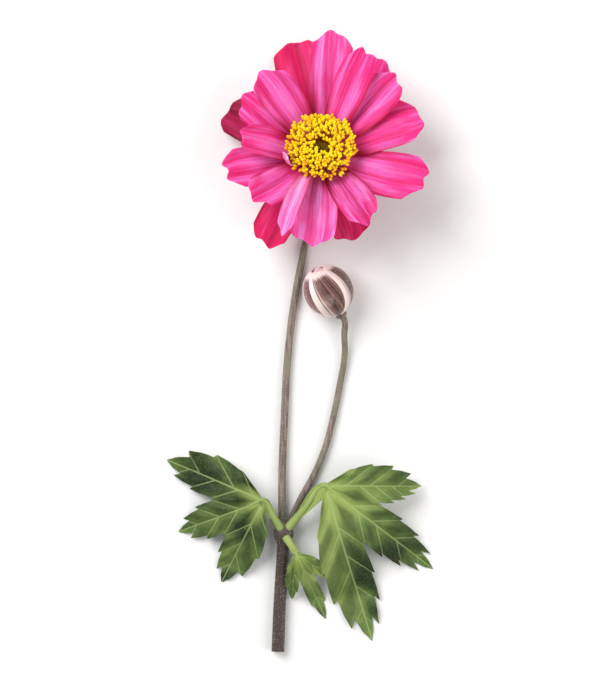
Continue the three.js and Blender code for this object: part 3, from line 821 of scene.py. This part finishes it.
collar = lean_into_frame(ring_stack("collar", [
    (0.86, -2.6), (1.2, -1.7), (2.3, -0.8), (COLLAR_RADIUS, 0.2), (COLLAR_RADIUS, COLLAR_TOP - 0.2),
    (1.6, COLLAR_TOP), (0.2, COLLAR_TOP),
], 32, cap=True))
fork = turned_ball("fork", FORK, (FORK_RADIUS, FORK_RADIUS * 1.12, FORK_RADIUS * 0.97))
cup = turned_ball("cup", BUD_BASE - BUD_AXIS * 0.3, (1.6, 1.6, 1), BUD_AXIS)
stem = give(join(*shoots, collar, fork, cup), name="stem_and_stalks")
give(stem.modifiers.new("skin", "REMESH"), mode="VOXEL", voxel_size=0.24 * MM)
give(stem.modifiers.new("flow", "SMOOTH"), factor=0.5, iterations=7)
apply_all(stem)
print("faces on the stem:", len(stem.data.polygons))

# %% Groove the stalks and cut the stem's end
GROOVES = 9
GROOVE_DEPTH = 0.045


def nearest_on_routes(points, routes):
    """For each point, how far off the nearest stretch of the routes is, and which way."""
    offsets = []
    for route in map(np.array, routes):
        for start, end in zip(route, route[1:]):
            run = end - start
            share = clip((points - start) @ run / (run @ run), 0, 1)
            offsets.append(points - start - share[:, None] * run)
    distances = norm(offsets, axis=2)
    nearest = distances.argmin(axis=0), np.arange(len(points))
    return distances[nearest], np.array(offsets)[nearest]


skin_points = points_of(stem) / MM - SHIFT
best, offset = nearest_on_routes(skin_points, [STEM_ROUTE, STALK_ROUTE, BUD_STALK_ROUTE])
turn = np.arctan2(offset[:, 2], offset[:, 0])
groove = cos(GROOVES * turn + 0.05 * skin_points[:, 1]) * clip((3 - best) / 1.5, 0, 1)
skin_points += GROOVE_DEPTH * groove[:, None] * offset / maximum(best, 0.1)[:, None]
skin_points[:, 2] = maximum(skin_points[:, 2], 0.02)
set_points(stem, place(skin_points))
edit_all(stem, bpy.ops.mesh.bisect, plane_co=place(CUT_END), plane_no=(0.04, 1, 0), use_fill=True,
         clear_inner=True)
bpy.ops.object.shade_smooth()
lowest_y = points_of(stem)[:, 1].min() / MM
print("cut end at y, mm:", round(lowest_y, 1))

# %% [markdown]
# The stalks are grey-mauve and ribbed, with olive patches, and the stem below the fork is a darker
# purple-brown. Object coordinates carry the paint, stretched so that the streaks run along the stalks. The
# cut face shows pale pith inside its green rim.


# %% Paint the stem
def stem_finish():
    material, tree = start_finish("stem_skin", 0.58, {"Sheen Weight": 0.15, "Sheen Roughness": 0.5})
    where = object_place(tree)
    height = make(tree, "SeparateXYZ", {0: where}).outputs[1]
    fork_y, bloom_y = place([FORK, BLOOM_AT])[:, 1].tolist()
    streaks = noise(make(tree, "Mapping", {0: where, 3: (1, 0.1, 1)}).outputs[0], 1700, 3)
    colour = paint(
        (0.125, 0.087, 0.072),
        (fade(streaks, 0.35, 0.65), (0.285, 0.222, 0.188)),
        (fade(noise(where, 70), 0.42, 0.62, 0, 0.75), (0.18, 0.172, 0.108)),
        (fade(height, fork_y + 16 * MM, fork_y - 4 * MM, 0, 0.9), (0.03, 0.014, 0.01)),
        (fade(height, bloom_y - 9 * MM, bloom_y - 3 * MM, 0, 0.8), (0.2, 0.17, 0.06)),
    )
    return end_finish(material, colour, streaks, 0.10)


def pith_finish():
    material, tree = start_finish("stem_pith", 0.6, {"Subsurface Weight": 0.2, "Subsurface Scale": MM})
    where = object_place(tree)
    grain = noise(where, 2400)
    from_middle = make(tree, "Mapping", {0: where, 1: -place(CUT_END)}).outputs[0]
    away = make(tree, "VectorMath", {0: from_middle}, operation="LENGTH").outputs["Value"]
    colour = paint(
        (0.52, 0.56, 0.3),
        (grain, (0.7, 0.7, 0.46)),
        (fade(away, MM, 1.6 * MM), (0.16, 0.2, 0.06)),
    )
    return end_finish(material, colour, grain, 0.10)


stem.data.materials.clear()
coat(stem, stem_finish(), pith_finish())
pith = [face for face in stem.data.polygons
        if face.center[1] / MM < lowest_y + 0.5 and face.normal[1] < -0.9]
for face in pith:
    face.material_index = UNDER_FINISH
hand_over(stem, "stem", "stem")
print("faces of pith:", len(pith))

# %% [markdown]
# ## Down
# Stalks and bud are covered in short silky hairs, which catch the light as a pale edge. Real hair curves
# would be lost in the export, so each hair is a three-sided cone on a random face, pointing out of it and a
# little towards the tip of the shoot. None grows on the stem's cut face or inside the bud.


# %% Helper that plants down
down_paint = grained_finish("down", 0.6, {"Sheen Weight": 0.4}, [9000], [0.01], (0.62, 0.52, 0.48),
                            ("tone", (), (0.86, 0.8, 0.76)))


def plant_down(name, bare, count, length, along):
    bare.data.calc_loop_triangles()
    triangles = bare.data.loop_triangles
    a, b, c = np.moveaxis(points_of(bare)[[list(triangle.vertices) for triangle in triangles]], 1, 0)
    outward = np.cross(b - a, c - a)
    area = norm(outward, axis=1)
    outward /= area[:, None]
    bpy.ops.mesh.primitive_cone_add(vertices=3, radius1=0.03, radius2=0.004, depth=1, end_fill_type="NOTHING",
                                    location=(0, 0, 0.5))
    hair = bpy.context.object
    bpy.ops.object.transform_apply()
    coat(hair, down_paint)
    shape = points_of(hair)
    copies = []
    for index in random.choice(len(area), size=count, p=area / area.sum()):
        weights = random.dirichlet((1, 1, 1))
        foot = (weights[0] * a[index] + weights[1] * b[index] + weights[2] * c[index]) / MM
        towards = turn_to(outward[index] + 0.5 * along + random.normal(0, 0.25, 3))
        points = (shape * [1, 1, length * random.uniform(0.6, 1.2)]) @ towards + foot
        if triangles[index].material_index != UNDER_FINISH and points[:, 2].min() > 0.03:
            copies.append(points * MM)
    down = gather(name, hair, copies, random.uniform(size=len(copies)))
    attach(down, "root")
    print("hairs of", name, len(copies))


# %% Plant down on the stalks
plant_down("stalk_down", stem, count=2600, length=0.75, along=np.array([0, 0.8, 0]))

# %% [markdown]
# ## Bud
# The closed bud is a ball of five sepals that wrap round it and lap over each other, mauve-brown with fine
# stripes and broad pale margins. Each is a sheet bent on to the ball: its outline is a pointed oval, and one
# of its edges stands a little proud, where it lies over its neighbour. A ball inside closes the gaps.

# %% Bend five sepals round the bud
SEPALS = 5
SEPAL_SHEET = 0.34
SEPAL_INSET = 0.22
seen_side = np.cross(BUD_AXIS, (0, 0, 1))
seen_side /= norm(seen_side)
upper_side = np.cross(seen_side, BUD_AXIS)


def sepal_surface(u, v, number):
    middle = radians(84 + 360 / SEPALS * number * 2)
    reach, breadth, rise = (0.9, 0.98, -0.18) if number >= 3 else (0.86, 0.86, 0.1)
    polar = pi * (0.03 + reach * v)
    arc_half = BUD_RADIUS * breadth * sin(pi * clip(v, 0, 1) ** 0.85) ** 0.62 + 0.25
    waist = maximum(sin(polar), 0.12) * BUD_RADIUS
    azimuth = middle + clip(arc_half / waist, 0, 2.4) * u + 0.45 * (v - 0.5)
    proud = rise + 0.16 * u + 0.05 * cos(7 * pi * u) * (1 - v) + 0.16 * np.abs(u) ** 3
    round_part = cos(azimuth)[:, None] * seen_side + sin(azimuth)[:, None] * upper_side
    from_axis = (BUD_RADIUS - SEPAL_INSET + proud) * sin(polar)
    along_axis = -(BUD_LENGTH - SEPAL_INSET + proud) * cos(polar)
    points = BUD_AT + from_axis[:, None] * round_part + along_axis[:, None] * BUD_AXIS
    return points, {"seed": 5.3 * number}


def sepal_finish(name, deep, body, rim):
    sockets = {"Sheen Weight": 0.3, "Sheen Roughness": 0.5, "Subsurface Weight": 0.10, "Subsurface Scale": MM}
    material, tree = start_finish(name, 0.62, sockets)
    across, along = sheet_place(tree)
    stripes = sheet_noise(tree, 24, 1)
    blotches = noise(object_place(tree), 260)
    margin = calc("MAXIMUM", off_middle(across), fade(along, 0.66, 1.02))
    wobble = calc("ADD", margin, times(stripes, 0.7))
    colour = paint(
        deep,
        (fade(stripes, 0.4, 0.6), body),
        (fade(blotches, 0.52, 0.8, 0, 0.25), rim),
        (fade(wobble, 0.8, 1.14), rim),
        (fade(stripes, 0.6, 0.8, 0, 0.35), body),
    )
    return end_finish(material, colour, stripes, 0.14)


sepal_paints = [
    sepal_finish("sepal_brown", (0.05, 0.017, 0.011), (0.25, 0.105, 0.08), (0.96, 0.77, 0.73)),
    sepal_finish("sepal_mauve", (0.078, 0.02, 0.025), (0.29, 0.105, 0.108), (0.96, 0.76, 0.74)),
]
sepal_lining = sepal_finish("sepal_lining", (0.3, 0.1, 0.14), (0.5, 0.22, 0.28), (0.8, 0.55, 0.58))
sepals = []
for number in range(SEPALS):
    sepal = bent_grid(f"sepal_{number + 1}", 22, 30, sepal_surface, number)
    thicken(sepal, SEPAL_SHEET, sepal_paints[number % 2], sepal_lining)
    sepals.append(sepal)
heart = turned_ball("heart", BUD_AT, (BUD_RADIUS - 0.7, BUD_RADIUS - 0.7, BUD_LENGTH - 0.6), BUD_AXIS)
coat(heart, sepal_lining)
keep_values(heart, seed=0)
bud = give(join(*sepals, heart), name="striped_bud")
hand_over(bud, "bud", "bud")
plant_down("bud_down", bud, count=2400, length=0.55, along=BUD_AXIS)
print("faces on the bud:", len(bud.data.polygons))

# %% [markdown]
# ## Leaves
# The three leaves of the ring are dark green, three-lobed and coarsely toothed, and droop until they lie on
# the table. A blade is a fan: u runs round the lobes from one notch to the next, and v from the petiole out
# to the teeth. Every lobe has a midrib, and a side vein to each tooth. The formula sinks the veins and puffs
# up the blade between them. It also keeps how near the midrib is and how many side veins were passed, so
# that the paint can follow the same lines, finer than the grid is.

# %% Name what makes one leaf differ from the next
TOOTH_DEPTH = 0.12
FINE_TOOTH_DEPTH = 0.020
LOBE_SHOULDER = 1.4
LEAF_FOLD = 1.6
DROOP_END = 0.7
BLADE_START = 0.8
VEIN_DEPTH = 0.10
PUFF = 0.8
PETIOLE_RADIUS = 0.8
PETIOLE_RISE = 6
WING_SHARE = 0.055
WING_START = 0.2
WING_END = 0.92
LEAF_SHEET = 0.24
LEAF_CLEARANCE = 0.15

Leaf = namedtuple("Leaf", "node base bearing teeth arch lobes notches")
LEAVES = [
    Leaf("leaf_left", (-15.2, -92.5, 6.2), 201, 3, 1.6,
         [(-43, 28), (0, 24.5), (42, 25)], [(-76, 9), (-22, 14), (21, 14), (76, 9)]),
    Leaf("leaf_right", (1.0, -88.5, 7.0), -38, 4, 2.6,
         [(-35, 44), (0, 37), (37, 26)], [(-60, 14), (-18, 19), (19, 16), (70, 8)]),
    Leaf("leaf_small", (-6.7, -106.3, 5.7), -66, 2, 0.9,
         [(-28, 13), (0, 20), (29, 11.5)], [(-52, 4.5), (-15, 8), (15, 8), (54, 4.5)]),
]
print("leaves:", [leaf.node for leaf in LEAVES])


# %% Write the leaf's formula
def vein_field(teeth, lobe, notch, x, y):
    """For points beside their lobe's midrib, which runs along x: how strong the midrib and all the veins
    are, how far off the nearest vein is, and how many side veins were passed, a number that climbs by one
    over the millimetre on each side of a vein. Lobe and notch are their bearings and reaches."""
    midrib = np.exp(-(y / (0.20 + 0.010 * (lobe[1] - x))) ** 2)
    vein, nearest, passed = midrib, np.abs(y), np.zeros_like(x)
    for tooth in range(1, teeth + 1):
        off = (tooth - 0.04) / teeth
        turn = radians(np.abs(notch[0] - lobe[0]) * off)
        reach = mix(lobe[1], notch[1], off**LOBE_SHOULDER)
        end_x, end_y = reach * cos(turn), reach * sin(turn)
        past_start = x - maximum(end_x - 1.25 * end_y, 0.10 * lobe[1])
        run_x = end_x - x + past_start
        length = np.hypot(run_x, end_y)
        forward = (past_start * run_x + y * end_y) / length
        aside = (y * run_x - past_start * end_y) / length
        share = clip(forward / length, 0, 1)
        distance = np.hypot(forward - share * length, aside)
        vein = maximum(vein, np.exp(-(distance / (0.24 - 0.10 * share)) ** 2) * (1 - 0.35 * share))
        nearest = minimum(nearest, distance)
        passed += clip(0.5 + aside / 2, 0, 1)
    return midrib, vein, nearest, passed


def blade_drop(leaf, run):
    """How far out a point lies, as a share of the way to where the blade meets the table."""
    return run / (max(reach for _, reach in leaf.lobes) * DROOP_END)


def blade_height(leaf, run):
    """The blade arches up from its petiole and then droops."""
    drop = blade_drop(leaf, run)
    return leaf.base[2] * (1 - drop**1.5) + leaf.arch * sin(pi * minimum(drop, 1))


def saw(teeth, blunt):
    """Falls from 1 to 0 over most of each tooth and climbs back over the rest."""
    part = teeth % 1
    return np.where(part < 0.7, 1 - part / 0.7, (part - 0.7) / 0.3) ** blunt


def leaf_surface(u, v, leaf):
    lobes, notches = np.array(leaf.lobes, float), np.array(leaf.notches, float)
    spot = clip((u + 1) / 2 * len(lobes), 0, len(lobes) - 1e-9)
    lobe_index = spot.astype(int)
    across = 2 * (spot - lobe_index) - 1
    lobe, notch = lobes[lobe_index].T, notches[np.where(across < 0, lobe_index, lobe_index + 1)].T
    off = np.abs(across)
    from_midrib = radians((notch[0] - lobe[0]) * off)
    bearing = radians(leaf.bearing + lobe[0]) + from_midrib
    teeth = TOOTH_DEPTH * (1 - saw(off * leaf.teeth, 0.65)) * v**2
    fine_teeth = FINE_TOOTH_DEPTH * (1 - saw(off * leaf.teeth * 3, 0.7)) * v**6
    reach = mix(lobe[1], notch[1], off**LOBE_SHOULDER)
    run = BLADE_START + v * (reach * (1 - teeth - fine_teeth) - BLADE_START)
    fold = LEAF_FOLD * off * minimum(1, 2 * v) * maximum(0, 1 - blade_drop(leaf, run))
    x, y = run * cos(from_midrib), run * np.abs(sin(from_midrib))
    midrib, vein, nearest, passed = vein_field(leaf.teeth, lobe, notch, x, y)
    between = (1 - np.exp(-(nearest / 1.3) ** 2)) * minimum(1, 3 * v)
    wave = 0.45 * (1 + sin(0.55 * run + 4 * across + lobe_index)) * v**2 * minimum(1, off * 3)
    resting = maximum(blade_height(leaf, run) + fold, LEAF_CLEARANCE)
    points = np.stack([
        leaf.base[0] + run * cos(bearing),
        leaf.base[1] + run * sin(bearing),
        resting + PUFF * between - VEIN_DEPTH * vein * minimum(1, resting) + wave,
    ], axis=1)
    return points, {"midrib": midrib, "passed": passed, "between": between, "edge": v}


def wing_surface(u, v, route, widest):
    """The blade runs down both sides of the petiole as a wing that narrows towards the fork."""
    lengths = np.concatenate([[0], np.cumsum(norm(np.diff(route, axis=0), axis=1))])
    run = route[-2] - route[0]
    sideways = np.array([-run[1], run[0], 0]) / np.hypot(run[0], run[1])
    share = mix(WING_START, WING_END, v) * lengths[-1]
    middle = np.stack([np.interp(share, lengths, route[:, axis]) for axis in range(3)], axis=1)
    rounded_end = np.sqrt(1 - (maximum(v - 0.66, 0) / 0.36) ** 2)
    half = mix(PETIOLE_RADIUS * 0.7, widest, v**0.8) * rounded_end
    points = middle + (half * u)[:, None] * sideways
    points[:, 2] += 0.25 + 0.5 * u * u
    off = np.abs(u)
    return points, {"midrib": 0.2 * (1 - off), "between": 0.3 * off, "edge": 0.12 * v + 0.1 * off}


# %% [markdown]
# The blade is a deep green, paler along the veins, and lighter and duller beneath. Broad patches of painted
# light and shade lie over it as on a wavy blade. Its slight gloss comes from the roughness, and the fine net
# of the smallest veins is a bump. A side vein runs wherever the count of passed veins is halfway to the next.


# %% Mix the leaves' finishes
def leaf_finish(name, dark, green, fresh_and_lit_green, vein_colour, roughness):
    sockets = {"Specular IOR Level": 0.2, "Subsurface Weight": 0.06, "Subsurface Scale": MM}
    material, tree = start_finish(name, roughness, sockets)
    where, edge = object_place(tree), attribute(tree, "edge")
    beside = calc("ABSOLUTE", calc("SUBTRACT", calc("FRACT", attribute(tree, "passed")), 0.5))
    side_vein = times(fade(beside, 0.13, 0.03), fade(edge, 1, 0.5, 0.5, 0.9))
    vein = calc("MAXIMUM", fade(attribute(tree, "midrib"), 0.25, 0.95), side_vein)
    # the patches are painted light and shade: broad lighter and darker bands for the lit and shaded parts of a
    # wavy blade
    patches = noise(where, 62, 3, 0.45)
    net = make(tree, "TexVoronoi", {"Vector": where, "Scale": 1500}, feature="DISTANCE_TO_EDGE").outputs[0]
    grain = noise(where, 1400, 3)
    colour = paint(
        dark,
        (fade(patches, 0.37, 0.58), green),
        (fade(patches, 0.52, 0.7, 0, 0.6), fresh_and_lit_green),
        (fade(attribute(tree, "between"), 0.35, 1, 0, 0.58), dark),
        (fade(grain, 0.45, 0.75, 0, 0.09), fresh_and_lit_green),
        (fade(net, 0.06, 0, 0, 0.11), vein_colour),
        (fade(edge, 0.4, 0.05, 0, 0.75), fresh_and_lit_green),
        (times(vein, 0.62), vein_colour),
    )
    return end_finish(material, colour, calc("ADD", fade(net, 0, 0.15), grain), 0.045)


leaf_face = leaf_finish("leaf_face", (0.01, 0.024, 0.006), (0.112, 0.18, 0.044), (0.36, 0.455, 0.125),
                        (0.36, 0.45, 0.18), 0.46)
leaf_under = leaf_finish("leaf_under", (0.07, 0.12, 0.06), (0.12, 0.19, 0.095), (0.18, 0.26, 0.12),
                         (0.3, 0.38, 0.2), 0.62)
print("leaf finishes:", leaf_face.name, leaf_under.name)

# %% Bend the blades and join each to its petiole
for leaf in LEAVES:
    blade = bent_grid(f"blade_{leaf.node}", len(leaf.lobes) * leaf.teeth * 20, 36, leaf_surface, leaf)
    base = np.array(leaf.base)
    away = base - FORK + [0, 0, PETIOLE_RISE]
    root = FORK + away / norm(away) * (FORK_RADIUS - 0.6)
    ahead = compass(radians(leaf.bearing))[0]
    route = np.array([root, (root + base) / 2 + [0, 0, 0.5], base, base + ahead])
    into_blade = [[*(base + ahead * run)[:2], blade_height(leaf, run) - 0.1] for run in (2.5, 5.0)]
    petiole = round_shoot("petiole", [*route[:3], *into_blade], PETIOLE_RADIUS * 1.45, PETIOLE_RADIUS * 0.35)
    coat(petiole, leaf_face)
    keep_values(petiole, midrib=0.55, between=0, edge=0.1)
    widest = WING_SHARE * max(reach for _, reach in leaf.lobes)
    wing = bent_grid("wing", 8, 14, wing_surface, route, widest)
    for sheet in (blade, wing):
        thicken(sheet, LEAF_SHEET, leaf_face, leaf_under)
    piece = join(blade, petiole, wing)
    hand_over(piece, "leaf", leaf.node)
    print(leaf.node, "faces:", len(piece.data.polygons))
